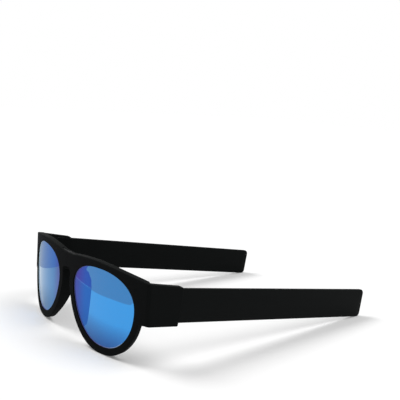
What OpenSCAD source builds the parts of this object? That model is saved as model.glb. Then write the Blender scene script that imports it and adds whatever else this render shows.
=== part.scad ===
// Folding sunglasses whose arms are slap bands: they stand straight or roll up into rings.
// X runs across the face, Y from the lenses back to the arm tips and Z up. The origin is on
// the surface that the glasses stand on, under their middle. Left and right are the wearer's,
// so the left half is on +X. Depths are drawn from the front of the bridge and moved at the end.

/* [Front] */
// Width over the two end pieces
front_w = 140; // [134:1:148]
// Radius of the bend of the front, seen from above
bend_r = 190; // [160:5:240]
// Thickness of the front
front_t = 4.2; // [4:0.1:5]
// Width of the rim beside a lens
rim_side = 3.8; // [3.2:0.1:4.6]
// Width of the rim between a lens and the nose
rim_nose = 4.8; // [4.2:0.1:5.4]
// Width of the rim below a lens
rim_below = 4.4; // [3.8:0.1:5.4]
// Height of the bar above a lens
brow_h = 4; // [3.2:0.1:5]
// How far the top of the bar drops from above a lens to the side of the lens
brow_fall = 3.4; // [2.8:0.1:4]
// How much lower the lower edge of the end piece lies beside the lens
end_fall = 1; // [0:0.1:1.5]
// Radius of the outer corner between front and arm, seen from above
corner_r = 3; // [2:0.25:3.5]

/* [Bridge] */
// Height of the bridge at its middle
bridge_h = 9.2; // [8.6:0.2:11]
// How far the top of the bridge lies below the top of the bar
bridge_dip = 1.8; // [0.5:0.1:2.4]
// How far the arch over the nose reaches in from the rims
nose_in = 2.6; // [2:0.2:3.4]
// How far the nose pads stand out behind the front
pad_t = 3.4; // [2:0.1:4]
// How far the two halves fold back at the bridge
fold_angle = 28; // [15:1:28]
// Gap between the two halves at the bridge when they stand straight
butt_gap = 0.1; // [0.06:0.02:0.2]

/* [Lenses] */
// Width of a lens opening at half its height
lens_w = 50.4; // [48:0.2:52]
// Height of a lens opening
lens_h = 45.2; // [43:0.2:47]
// Share by which a lens is wider at its top and narrower at its bottom
lens_taper = 0.19; // [0.1:0.01:0.25]
// How far the bottom of a lens lies outside its top
lens_lean = 4.8; // [3:0.2:6]
// Exponent of the lens outline, where 2 is an ellipse
lens_power = 2.27; // [2.1:0.01:2.6]
// Distance from the middle of the glasses to the middle of a lens
lens_mid_x = 35.7; // [35:0.1:37]
// Thickness of a lens
lens_t = 1.8; // [1.4:0.1:2]
// How far a lens lies behind the front face
lens_set = 1.1; // [0.8:0.1:1.3]
// How far the edge of a lens reaches into its rim
lens_edge = 0.9; // [0.6:0.1:1.4]

/* [Bridge hinge] */
// Distance of the hinge pin behind the front face
pin_y = 2; // [1.9:0.05:2.1]
// Diameter of the hinge pin
pin_d = 1.2; // [1:0.1:1.3]
// Diameter of the hinge barrel
barrel_d = 2.4; // [2.2:0.1:2.5]
// Height of the hinge
hinge_h = 6.4; // [5.6:0.2:7]
// Reach of a hinge leaf from the pin
leaf_reach = 9.4; // [8.6:0.2:10]
// Thickness of a hinge leaf
leaf_t = 0.8; // [0.6:0.1:0.9]
// Distance of a leaf screw from the pin
leaf_screw_x = 6.5; // [6:0.1:7]
// Depth of a leaf screw below the top of the bridge
leaf_screw_low = 3.6; // [3.2:0.1:4]
// Diameter of the shank of a leaf screw
leaf_screw_d = 1.1; // [0.9:0.1:1.2]
// Diameter of the head of a leaf screw
leaf_head_d = 2; // [1.8:0.1:2.2]

/* [Sleeves] */
// Length of the sleeve that holds an arm
sleeve_len = 23.3; // [22:0.1:26]
// Thickness of a sleeve with its cover
sleeve_t = 4.4; // [4.4:0.1:5]
// Outer wall of a sleeve
sleeve_wall = 1.3; // [1.1:0.05:1.4]
// Wall of a sleeve above the arm, at its end
sleeve_above = 1; // [0.8:0.1:2]
// Angle at which the top of a sleeve rises from the arm towards the front
sleeve_rise = 3.4; // [0:0.2:5]
// Wall of a sleeve below the arm
sleeve_below = 1.8; // [1.4:0.1:2.6]
// Radius of the upper corner at the end of a sleeve
sleeve_r = 2; // [1:0.25:3]
// Radius of the lower corner at the end of a sleeve
sleeve_low_r = 0.8; // [0.5:0.1:1.5]
// Solid block at the front end of a sleeve
sleeve_block = 5; // [4.5:0.1:6]
// Thickness of the cover on the inside of a sleeve
cover_t = 1.1; // [0.9:0.05:1.2]
// Height of the middle of an arm at the corner of the front
arm_z = 36.3; // [35:0.1:37.5]
// Angle by which an arm leans inwards
toe_in = 1.5; // [1:0.25:4]
// Diameter of the bosses that pass through the root of a band
boss_d = 3.6; // [3:0.1:4]
// Distance from the end of a sleeve to its first boss
boss_first = 5; // [4.5:0.1:6]
// Distance between the two bosses
boss_step = 8.5; // [7.5:0.1:9]
// Diameter of the shank of a cover screw
cover_screw_d = 1.2; // [1:0.1:1.4]
// Diameter of the head of a cover screw
cover_head_d = 2.4; // [2.2:0.1:2.6]

/* [Slap bands] */
// Height of a band
band_h = 20; // [19:0.2:21]
// Thickness of a band
band_t = 2.6; // [2.4:0.1:2.8]
// Depth of a band below the outside of its sleeve
band_set = 0.8; // [0.6:0.1:0.9]
// Thickness of the root of a band inside its sleeve
root_t = 1.8; // [1.6:0.05:1.85]
// Length of the band from its sleeve to the first bend
root_out = 5; // [4.5:0.1:6]
// Number of sections that a band bends in
band_n = 14; // [13:1:15]
// Length of one section
band_pitch = 11.8; // [11:0.1:12]
// Gap between two sections
band_gap = 0.1; // [0.06:0.02:0.16]
// Radius of the long edges of a band
band_edge_r = 0.6; // [0.3:0.1:1]
// Radius of the two corners of a band's tip
tip_r = 3; // [2:0.25:5]
// Thickness of the steel tape inside a band
tape_t = 0.3; // [0.2:0.05:0.4]
// Height of the steel tape
tape_h = 16; // [14:0.5:17]
// Silicone past the end of the steel tape
tape_end = 4; // [3:0.5:6]

/* [Fits] */
// Gap all round between parts that are fitted into each other
fit = 0.1; // [0.05:0.01:0.15]
// Running gap round the hinge pin
pin_fit = 0.04; // [0.02:0.01:0.08]
// Running gap round the hinge barrel
barrel_fit = 0.2; // [0.15:0.01:0.3]
// Thickness of the head of a screw
head_t = 0.5; // [0.4:0.05:0.6]
// Width and depth of the slots in the head of a screw
slot_w = 0.3; // [0.2:0.05:0.4]

/* [Hidden] */
$fn = 48;
// How far parts of one piece run into each other, and how far a cut runs past a face
lap = 0.2;
past = 1;
// Points round a lens. The two lowest are level, so a rim has a flat foot to stand on
lens_steps = 48;
lens_mid_z = rim_below + lens_h / 2;
brow_z = rim_below + lens_h + brow_h;
bridge_z = brow_z - bridge_dip;
half_w = front_w / 2;
// Depth of the bend of the front at a distance from the middle
function bend_y(x) = bend_r - sqrt(bend_r * bend_r - x * x);
corner_y = bend_y(half_w);
sleeve_up = band_h / 2 + sleeve_above;
sleeve_down = band_h / 2 + sleeve_below;
// Where the round of the upper corner ends and the slanted top of a sleeve begins, and its height
// at the front
sleeve_top_y = sleeve_r * sin(sleeve_rise) - sleeve_r;
sleeve_top_z = sleeve_up - sleeve_r + sleeve_r * cos(sleeve_rise);
sleeve_front_up = sleeve_top_z + (sleeve_len + sleeve_top_y) * tan(sleeve_rise);
band_len = root_out + band_n * band_pitch;
band_in = band_set + band_t;
// The root lies in the middle of the pocket, and the tape in the middle of the root
tape_mid = (sleeve_wall + sleeve_t - cover_t) / 2;
tape_start = sleeve_block - sleeve_len + past;
// The slope of the arms lets the round of both tips stand on the surface
arm_run = sleeve_len + band_len - tip_r;
tip_up = band_h / 2 - tip_r;
arm_slope = asin((arm_z - tip_r) / norm([arm_run, tip_up])) - atan(tip_up / arm_run);
// The whole depth, from the front of the bridge to the round of a tip
whole_y = corner_y - band_set * sin(toe_in)
    + (arm_run * cos(arm_slope) + tip_up * sin(arm_slope) + tip_r) * cos(toe_in);
end_top = arm_z + sleeve_front_up * cos(arm_slope);
end_low = arm_z - sleeve_down * cos(arm_slope);
hinge_z = bridge_z - hinge_h;
arch_z = bridge_z - bridge_h;
knuckle_h = (hinge_h - 2 * fit) / 3;
leaf_screw_back = front_t + bend_y(leaf_screw_x);
leaf_screw_z = bridge_z - leaf_screw_low;
// Skin of the bridge in front of a leaf screw, and of a sleeve in front of a cover screw
screw_skin = 1;
leaf_screw_long = leaf_screw_back - screw_skin;
cover_screw_long = sleeve_t - sleeve_wall - screw_skin / 4;

function band_name(side, i) = str(side, "_band_", i < 10 ? "0" : "", i);
// A power that keeps the sign, for the lens outline
function bulge(c) = sign(c) * pow(abs(c), 2 / lens_power);
// The lens outline in front view, grown by a width at its sides, top, bottom and nose side
function lens_outline(side, top, bottom, nose) = [for (i = [0:lens_steps - 1])
    let (a = 360 * (i + 0.5) / lens_steps, u = bulge(cos(a)),
         v = bulge(sin(a)) / bulge(cos(180 / lens_steps)))
    [lens_mid_x - lens_lean * v / 2 + (lens_w / 2 + (u > 0 ? side : nose)) * u * (1 + lens_taper * v),
     lens_mid_z + (lens_h / 2 + (v > 0 ? top : bottom)) * v]];
// A smooth curve through a few points, six steps between each pair
function curve(p) = concat([for (i = [0:len(p) - 2], s = [0:5])
    let (a = p[max(i - 1, 0)], b = p[i], c = p[i + 1], d = p[min(i + 2, len(p) - 1)], t = s / 6)
    (2 * b + (c - a) * t + (2 * a - 5 * b + 4 * c - d) * t * t
        + (3 * b - a - 3 * c + d) * t * t * t) / 2], [p[len(p) - 1]]);

// Moves a finished piece so that the origin lies under the middle of the glasses
module placed() {
    translate([0, -whole_y / 2, 0]) children();
}

// Everything between two surfaces that follow the bend of the front, given by their depth
module bent(front, back) {
    translate([0, bend_r, 0]) difference() {
        cylinder(r = bend_r - front, h = brow_z + past, $fn = 180);
        translate([0, 0, -past])
            cylinder(r = bend_r - back, h = brow_z + 3 * past, $fn = 180);
    }
}

// A front view outline of the left half, carried back through the front
module front_view() {
    translate([0, corner_y + front_t + 2 * past, 0]) rotate([90, 0, 0])
        linear_extrude(corner_y + front_t + 4 * past) children();
}

// The half front without its lens opening: rim, bridge, bar and end piece
module half_outline() {
    lens_side = lens_mid_x + lens_w / 2;
    nose_side = lens_mid_x - lens_w / 2 - rim_nose;
    arch_rise = arch_z - lens_mid_z;
    polygon(lens_outline(rim_side, brow_h, rim_below, rim_nose));
    polygon(concat(
        curve([[butt_gap / 2, bridge_z], [nose_side, bridge_z + bridge_dip * 0.05],
               [nose_side + lens_w * 0.18, brow_z - bridge_dip / 3], [lens_mid_x - lens_w * 0.12, brow_z],
               [lens_mid_x + lens_w * 0.16, brow_z - brow_fall * 0.3], [lens_side, brow_z - brow_fall],
               [half_w, end_top]]),
        [[half_w, end_low], [lens_side, end_low - end_fall], [lens_mid_x, lens_mid_z],
         [nose_side + rim_nose / 4, lens_mid_z]],
        curve([[nose_side - nose_in * 0.03, lens_mid_z + arch_rise * 0.22],
               [nose_side - nose_in * 0.22, lens_mid_z + arch_rise * 0.67],
               [nose_side - nose_in * 0.6, arch_z - arch_rise * 0.12],
               [nose_side - nose_in, arch_z - arch_rise * 0.02],
               [butt_gap / 2, arch_z]])));
}

// Puts what is drawn at the end of a sleeve on the left half.
// There x is 0 on the outside of the sleeve, y runs along the arm and z is 0 at its middle
module left_arm() {
    translate([half_w, corner_y, arm_z]) rotate([0, 0, toe_in]) rotate([-arm_slope, 0, 0])
        translate([0, sleeve_len, 0]) children();
}

// A box given by its ranges
module block(x, y, z) {
    translate([x[0], y[0], z[0]]) cube([x[1] - x[0], y[1] - y[0], z[1] - z[0]]);
}

// A round bar along x, from one depth to another
module across(x, y, d) {
    translate([x[0], y, 0]) rotate([0, 90, 0]) cylinder(d = d, h = x[1] - x[0]);
}

// A screw whose head ends at 0 and whose shank points down, with a cross slot
module screw(shank_d, head_d, long) {
    difference() {
        union() {
            translate([0, 0, -head_t]) cylinder(d = head_d, h = head_t);
            translate([0, 0, -long]) cylinder(d = shank_d, h = long - head_t / 2);
        }
        for (turn = [0, 90]) rotate(turn)
            block([-slot_w / 2, slot_w / 2], [-head_d * 0.35, head_d * 0.35], [-slot_w, past]);
    }
}

// The hole for a screw
module screw_hole(shank_d, head_d, long) {
    translate([0, 0, -long]) cylinder(d = shank_d + 2 * pin_fit, h = long + past);
    translate([0, 0, -head_t - pin_fit]) cylinder(d = head_d + 2 * pin_fit, h = head_t + past);
}

// The two bosses of a sleeve, or the holes for them
module at_bosses() {
    for (y = [-boss_first, -boss_first - boss_step]) translate([0, y, 0]) children();
}

// What is cut away to round a corner that points along y and, in side view, up or down
module rounding(x, y, z, r, up) {
    translate([x[0] - past, y - r, z - up * r]) rotate([90, 0, 90])
        linear_extrude(x[1] - x[0] + 2 * past) difference() {
            translate([0, up > 0 ? 0 : -r - past]) square(r + past);
            circle(r);
        }
}

// The body of a sleeve, with round corners at its end and a top that rises to the front.
// Its outside is cut later
module sleeve_body() {
    front = -sleeve_len - corner_r / 2;
    translate([-sleeve_t, 0, 0]) rotate([90, 0, 90]) linear_extrude(sleeve_t + past) difference() {
        union() {
            translate([front, -sleeve_down]) square([-front, sleeve_down]);
            polygon([[front, 0], [0, 0], [0, sleeve_up - sleeve_r], [-sleeve_r, sleeve_up - sleeve_r],
                     [sleeve_top_y, sleeve_top_z], [-sleeve_len, sleeve_front_up],
                     [front, sleeve_front_up]]);
            translate([-sleeve_r, sleeve_up - sleeve_r]) circle(sleeve_r);
        }
        translate([-sleeve_low_r, -sleeve_down]) difference() {
            translate([0, -past]) square(sleeve_low_r + past);
            translate([0, sleeve_low_r]) circle(sleeve_low_r);
        }
    }
}

// The pocket of a sleeve, open to the inside of the glasses and at its end
module sleeve_pocket() {
    block([-sleeve_t - past, -sleeve_wall], [sleeve_block - sleeve_len, past],
        [-band_h / 2 - fit, band_h / 2 + fit]);
}

// Places the cover screws, and their holes, with the heads on the inside of a sleeve
module at_cover_screws(sunk) {
    at_bosses() translate([sunk - sleeve_t, 0, 0]) rotate([0, -90, 0]) children();
}

module sleeve_bosses() {
    left_arm() difference() {
        at_bosses() across([-sleeve_t + cover_t + fit, -sleeve_wall + lap], 0, boss_d);
        at_cover_screws(0) screw_hole(cover_screw_d, cover_head_d, cover_screw_long + pin_fit);
    }
}

// Cuts the front and the sleeve down to the outside of the sleeve, and rounds the corner
// between that and the front face
module corner_cut() {
    out = [cos(toe_in), sin(toe_in)];
    turn = 90 + toe_in - asin(half_w / bend_r);
    c = [half_w, corner_y] - corner_r * out + corner_r * tan(turn / 2) * [-sin(toe_in), cos(toe_in)];
    front = (c - [0, bend_r]) / norm(c - [0, bend_r]);
    left_arm() block([0, 4 * past], [-sleeve_len - corner_r, past], [-brow_z, brow_z]);
    translate([0, 0, -past]) linear_extrude(brow_z + 2 * past) difference() {
        polygon([c, c + 3 * corner_r * out, c + 3 * corner_r * (out + front), c + 3 * corner_r * front]);
        translate(c) circle(corner_r);
    }
}

// Places the leaf screw, and its hole, with the head at the back of the bridge
module at_leaf_screw() {
    translate([leaf_screw_x, leaf_screw_back, leaf_screw_z]) rotate([-90, 0, 0]) children();
}

// The room for the hinge, cut from the bridge
module hinge_room() {
    lean = fold_angle / 2 + 1;
    deep = front_t + pad_t + 2 * past;
    // The two halves open like a V behind the pin
    translate([0, 0, -past]) linear_extrude(brow_z + 2 * past)
        polygon([[-past, pin_y], [butt_gap / 2, pin_y],
                 [butt_gap / 2 + (deep - pin_y) * tan(lean), deep], [-past, deep]]);
    translate([0, pin_y, hinge_z - fit]) cylinder(d = barrel_d + 2 * barrel_fit, h = hinge_h + past);
    block([0, leaf_reach + fit], [pin_y - leaf_t / 2 - fit / 2, pin_y + leaf_t / 2 + fit / 2],
        [hinge_z - fit, bridge_z + past]);
    at_leaf_screw() screw_hole(leaf_screw_d, leaf_head_d, leaf_screw_long + pin_fit);
}

// The nose pad of a half, a ridge behind its rim that runs out at the bottom and at the arch
module nose_pad() {
    low = lens_mid_z - lens_h * 0.42;
    intersection() {
        front_view() difference() {
            half_outline();
            polygon(lens_outline(lens_edge, lens_edge, lens_edge, lens_edge));
        }
        rotate([90, 0, 90]) linear_extrude(lens_mid_x - lens_lean) polygon(concat(
            curve([[front_t - lap, low], [front_t + pad_t * 0.5, low + lens_h * 0.16],
                   [front_t + pad_t, low + lens_h * 0.34], [front_t + pad_t, arch_z - lens_h * 0.14],
                   [front_t + pad_t * 0.6, arch_z - lens_h * 0.03], [front_t - lap, arch_z + lens_h * 0.06]])));
    }
}

module half_frame() {
    difference() {
        union() {
            intersection() {
                bent(0, front_t);
                front_view() half_outline();
            }
            nose_pad();
            intersection() {
                left_arm() sleeve_body();
                translate([0, bend_r, 0]) cylinder(r = bend_r, h = brow_z, $fn = 180);
            }
        }
        front_view() polygon(lens_outline(0, 0, 0, 0));
        intersection() {
            bent(lens_set - fit, lens_set + lens_t + fit);
            front_view() polygon(lens_outline(lens_edge, lens_edge, lens_edge, lens_edge));
        }
        left_arm() sleeve_pocket();
        corner_cut();
        hinge_room();
    }
    sleeve_bosses();
}

module left_frame() {
    color("#17191a") placed() half_frame();
}

module right_frame() {
    color("#17191a") placed() mirror([1, 0, 0]) half_frame();
}

module lens() {
    inset = lens_edge - fit;
    intersection() {
        bent(lens_set, lens_set + lens_t);
        front_view() polygon(lens_outline(inset, inset, inset, inset));
    }
}

module left_lens() {
    color("#3f97df") placed() lens();
}

module right_lens() {
    color("#3f97df") placed() mirror([1, 0, 0]) lens();
}

// One knuckle of the hinge, counted from the bottom
module knuckle(i, bore) {
    translate([0, pin_y, hinge_z + i * (knuckle_h + fit)]) difference() {
        cylinder(d = barrel_d, h = knuckle_h);
        translate([0, 0, -past]) cylinder(d = bore, h = knuckle_h + 2 * past);
    }
}

// The plate of a leaf, cut back beside the knuckles of the other leaf
module leaf_plate(cut) {
    difference() {
        block([0, leaf_reach], [pin_y - leaf_t / 2, pin_y + leaf_t / 2], [hinge_z, hinge_z + hinge_h]);
        for (i = cut) translate([0, pin_y, hinge_z + i * (knuckle_h + fit) - fit])
            cylinder(d = barrel_d + 2 * barrel_fit, h = knuckle_h + 2 * fit);
        translate([0, pin_y, hinge_z - past]) cylinder(d = barrel_d - 2 * lap, h = hinge_h + 2 * past);
        at_leaf_screw() screw_hole(leaf_screw_d, leaf_head_d, leaf_screw_long);
    }
}

module left_hinge_leaf() {
    color("#8c8f92") placed() union() {
        leaf_plate([1]);
        knuckle(0, pin_d + pin_fit);
        knuckle(2, pin_d + pin_fit);
    }
}

module right_hinge_leaf() {
    color("#8c8f92") placed() union() {
        mirror([1, 0, 0]) leaf_plate([0, 2]);
        knuckle(1, pin_d + 2 * pin_fit);
    }
}

module hinge_pin() {
    color("#a9acae") placed() translate([0, pin_y, hinge_z]) cylinder(d = pin_d, h = hinge_h);
}

// The screw that holds a leaf, put in from the back of the bridge
module leaf_screw() {
    at_leaf_screw() screw(leaf_screw_d, leaf_head_d, leaf_screw_long);
}

module left_leaf_screw() {
    color("#8c8f92") placed() leaf_screw();
}

module right_leaf_screw() {
    color("#8c8f92") placed() mirror([1, 0, 0]) leaf_screw();
}

// The plate that closes a sleeve on the inside
module sleeve_cover() {
    left_arm() difference() {
        block([-sleeve_t, cover_t - sleeve_t], [sleeve_block - sleeve_len + fit, 0],
            [-band_h / 2, band_h / 2]);
        at_cover_screws(0) screw_hole(cover_screw_d, cover_head_d, sleeve_t);
    }
}

module left_sleeve_cover() {
    color("#17191a") placed() sleeve_cover();
}

module right_sleeve_cover() {
    color("#17191a") placed() mirror([1, 0, 0]) sleeve_cover();
}

// The two screws of a cover
module cover_screws() {
    left_arm() at_cover_screws(pin_fit) screw(cover_screw_d, cover_head_d, cover_screw_long);
}

module left_cover_screws() {
    color("#8c8f92") placed() cover_screws();
}

module right_cover_screws() {
    color("#8c8f92") placed() mirror([1, 0, 0]) cover_screws();
}

// The steel tape that runs through a band from its root to near its tip
module steel_tape() {
    left_arm() difference() {
        block([-tape_mid - tape_t / 2, -tape_mid + tape_t / 2],
            [tape_start, band_len - tape_end], [-tape_h / 2, tape_h / 2]);
        at_bosses() across([-sleeve_t, 0], 0, boss_d + 2 * fit);
    }
}

module left_steel_tape() {
    color("#a9acae") placed() steel_tape();
}

module right_steel_tape() {
    color("#a9acae") placed() mirror([1, 0, 0]) steel_tape();
}

// The channel for the steel tape, between two places along the arm
module tape_channel(y) {
    block([-tape_mid - tape_t / 2 - fit, -tape_mid + tape_t / 2 + fit], y,
        [-tape_h / 2 - fit, tape_h / 2 + fit]);
}

// A stretch of band with round edges
module band_bar(y) {
    r = band_edge_r;
    translate([-band_in, y[1], -band_h / 2]) rotate([90, 0, 0]) linear_extrude(y[1] - y[0]) {
        translate([r, 0]) square([band_t - 2 * r, band_h]);
        translate([0, r]) square([band_t, band_h - 2 * r]);
        for (x = [r, band_t - r], z = [r, band_h - r]) translate([x, z]) circle(r);
    }
}

module band_root() {
    left_arm() difference() {
        union() {
            band_bar([fit, root_out - band_gap / 2]);
            block([-tape_mid - root_t / 2, -tape_mid + root_t / 2],
                [sleeve_block - sleeve_len + fit, fit], [-band_h / 2, band_h / 2]);
        }
        tape_channel([tape_start - fit, root_out]);
        at_bosses() across([-sleeve_t, 0], 0, boss_d + 2 * fit);
    }
}

module left_band_root() {
    color("#1b1d1e") placed() band_root();
}

module right_band_root() {
    color("#1b1d1e") placed() mirror([1, 0, 0]) band_root();
}

// One section of a band, counted from its root. The last one has the round tip
module band_section(i) {
    y = [root_out + (i - 1) * band_pitch + band_gap / 2, root_out + i * band_pitch - band_gap / 2];
    last = i == band_n;
    left_arm() difference() {
        band_bar(y);
        tape_channel([y[0] - past, last ? band_len - tape_end + fit : y[1] + past]);
        if (last) for (up = [-1, 1]) rounding([-band_in, -band_set], y[1], up * band_h / 2, tip_r, up);
    }
}

left_frame();
right_frame();
left_lens();
right_lens();
left_hinge_leaf();
right_hinge_leaf();
hinge_pin();
left_leaf_screw();
right_leaf_screw();
left_sleeve_cover();
right_sleeve_cover();
left_cover_screws();
right_cover_screws();
left_steel_tape();
right_steel_tape();
left_band_root();
right_band_root();
for (i = [1:band_n]) {
    color("#1b1d1e") placed() band_section(i);
    color("#1b1d1e") placed() mirror([1, 0, 0]) band_section(i);
}
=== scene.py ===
import math

import bmesh
import bpy
from bpy.props import FloatProperty, FloatVectorProperty, IntProperty, PointerProperty
from mathutils import Matrix, Vector


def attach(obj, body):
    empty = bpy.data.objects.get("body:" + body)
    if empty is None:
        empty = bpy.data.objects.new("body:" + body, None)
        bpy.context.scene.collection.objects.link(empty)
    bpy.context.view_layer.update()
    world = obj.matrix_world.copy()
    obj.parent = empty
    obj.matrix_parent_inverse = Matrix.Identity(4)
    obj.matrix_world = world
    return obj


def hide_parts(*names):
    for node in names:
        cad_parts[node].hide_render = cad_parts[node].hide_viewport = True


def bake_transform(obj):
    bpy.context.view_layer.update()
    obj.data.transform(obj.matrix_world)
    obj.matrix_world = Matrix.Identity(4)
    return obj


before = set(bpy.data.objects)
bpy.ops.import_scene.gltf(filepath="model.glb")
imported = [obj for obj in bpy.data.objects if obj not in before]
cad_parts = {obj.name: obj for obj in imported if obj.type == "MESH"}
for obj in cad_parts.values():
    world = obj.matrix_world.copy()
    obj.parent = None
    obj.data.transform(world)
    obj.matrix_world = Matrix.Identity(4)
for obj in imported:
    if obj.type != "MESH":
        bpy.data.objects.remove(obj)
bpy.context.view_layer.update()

bl_info = {
    "name": "Slap band sunglasses",
    "version": (1, 0, 0),
    "blender": (4, 5, 0),
    "location": "View3D > Sidebar > Sunglasses",
    "description": "Builds folding sunglasses with slap band arms round a fixed frame",
    "category": "Add Mesh",
}

MM = 0.001
SIDES = (("left", 1), ("right", -1))
# Parts of a lens opening, a rim and a rod, and of a curve between two of its points
OPENING_STEPS = 120
RIM_STEPS = 192
ROD_SIDES = 32
CURVE_STEPS = 6
# Distances between the cuts that let flat faces bend
FRONT_CUT = 2 * MM
CORNER_CUT = 0.4 * MM
FINE_CUT = 1.5 * MM
BAND_CUT = 0.8 * MM
# Distance within which places are the same, vertices join a cut, and vertices are merged
SAME = 1e-7
ON_CUT = 1e-8
MERGE = 1e-6
# How far a cutter reaches past what it cuts
PAST = 1 * MM
# Edges that bend by more than this are rounded, in radians
ROUND_FROM = 1
# Edges that bend by more than this are shaded as sharp
SHARP_FROM = math.radians(35)
# How far a wall may lean, and how many half lens sizes from its middle an opening's walls lie
WALL_TILT = 0.1
WALL_REACH = 1.3
# The mirror coat lies where the normal of a lens points forward by more than this
COAT_FROM = 0.3
# The upper edge of the bar: shares of the dip risen at the rim and left further on, share of the
# fall done past its top, and places as shares of the lens width
BAR_RIM_RISE = 0.05
BAR_RISEN, BAR_DIP_LEFT = 0.18, 1 / 3
BAR_TOP = 0.12
BAR_FALLING, BAR_FALLEN = 0.16, 0.3
# The arch over the nose: shares of how far it reaches in, and of its rise from the lens's middle
ARCH = ((0.03, 0.22), (0.22, 0.67), (0.6, 0.88), (1, 0.98))
# The nose pad's lower and upper end: shares of the lens height, from the middle of the lens
# and from the nose arch, and shares of the pad's full depth
PAD_LOWER = ((-0.42, 0), (-0.26, 0.5), (-0.08, 1))
PAD_UPPER = ((-0.14, 1), (-0.03, 0.6), (0.06, 0))


def length(name, description, default):
    """A size that the user can change, given in millimetres."""
    return FloatProperty(name=name, description=description, default=default * MM, unit="LENGTH",
                         precision=5)


def colour(name, description, default):
    """A colour that the user can change, given as an sRGB hex value."""
    return FloatVectorProperty(name=name, description=description, default=linear(default),
                               subtype="COLOR", size=4, min=0, max=1)


def linear(shade):
    """The linear colour of an sRGB hex value."""
    parts = [int(shade[i:i + 2], 16) / 255 for i in (1, 3, 5)]
    return [c / 12.92 if c <= 0.04045 else ((c + 0.055) / 1.055) ** 2.4 for c in parts] + [1]


class FrontSizes(bpy.types.PropertyGroup):
    front_w: length("Front width", "Width over the two end pieces", 140)
    bend_r: length("Bend radius", "Radius of the bend of the front, seen from above", 190)
    front_t: length("Front thickness", "Thickness of the front", 4.2)
    rim_side: length("Rim at the side", "Width of the rim beside a lens", 3.8)
    rim_nose: length("Rim by the nose", "Width of the rim between a lens and the nose", 4.8)
    rim_below: length("Rim below", "Width of the rim below a lens", 4.4)
    brow_h: length("Bar height", "Height of the bar above a lens", 4)
    brow_fall: length("Bar fall", "How far the bar drops from above a lens to its side", 3.4)
    end_fall: length("End fall", "How much lower the end piece's lower edge lies beside the lens", 1)
    corner_r: length("Corner radius", "Outer corner between front and arm, from above", 3)
    bridge_h: length("Bridge height", "Height of the bridge at its middle", 9.2)
    bridge_dip: length("Bridge dip", "How far the bridge lies below the bar", 1.8)
    nose_in: length("Nose arch", "How far the arch over the nose reaches in from the rims", 2.6)
    pad_t: length("Nose pad", "How far the nose pads stand out behind the front", 3.4)
    butt_gap: length("Butt gap", "Gap between the two halves at the bridge", 0.1)
    edge_r: length("Edge radius", "Radius of the moulded edges of the front", 0.6)
    opening_r: length("Opening edge", "Radius of the edges of the lens openings", 0.2)


class LensSizes(bpy.types.PropertyGroup):
    lens_w: length("Lens width", "Width of a lens opening at half its height", 50.4)
    lens_h: length("Lens height", "Height of a lens opening", 45.2)
    taper: FloatProperty(name="Lens taper", description="Share by which a lens is wider at its top",
                         default=0.19)
    lean: length("Lens lean", "How far the bottom of a lens lies outside its top", 4.8)
    power: FloatProperty(name="Outline power", description="2 is an ellipse", default=2.27)
    mid_x: length("Lens place", "From the middle of the glasses to the middle of a lens", 35.7)
    thick: length("Lens thickness", "Thickness of a lens", 1.8)
    set_in: length("Lens depth", "How far a lens lies behind the front face", 1.1)
    edge: length("Lens edge", "How far the edge of a lens reaches into its rim", 0.9)
    crown: length("Lens crown", "How far the middle of a lens bulges forward", 0.6)
    bare_h: length("Bare edge height", "How far the bare edge of a lens stands up in its opening", 0.3)
    bare_w: length("Bare edge width", "Width of the bare edge where it meets the mirror coat", 0.3)
    fit: length("Fit", "Gap between a lens and its groove", 0.1)


class HingeSizes(bpy.types.PropertyGroup):
    pin_y: length("Pin depth", "Distance of the hinge pin behind the front face", 2)
    barrel_d: length("Barrel", "Diameter of the hinge barrel", 2.4)
    hinge_h: length("Hinge height", "Height of the hinge", 6.4)
    leaf_reach: length("Leaf reach", "Reach of a hinge leaf from the pin", 9.4)
    leaf_t: length("Leaf thickness", "Thickness of a hinge leaf", 0.8)
    screw_x: length("Screw distance", "Distance of a leaf screw from the pin", 6.5)
    screw_low: length("Screw depth", "Depth of a leaf screw below the bridge's top", 3.6)
    head_d: length("Screw head", "Diameter of the head of a leaf screw", 2)
    head_t: length("Head thickness", "Thickness of the head of a screw", 0.5)
    fold: FloatProperty(name="Fold", description="How far the halves fold back",
                        default=math.radians(28), subtype="ANGLE")
    room: length("Room", "Running gap round the hinge barrel", 0.2)


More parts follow.
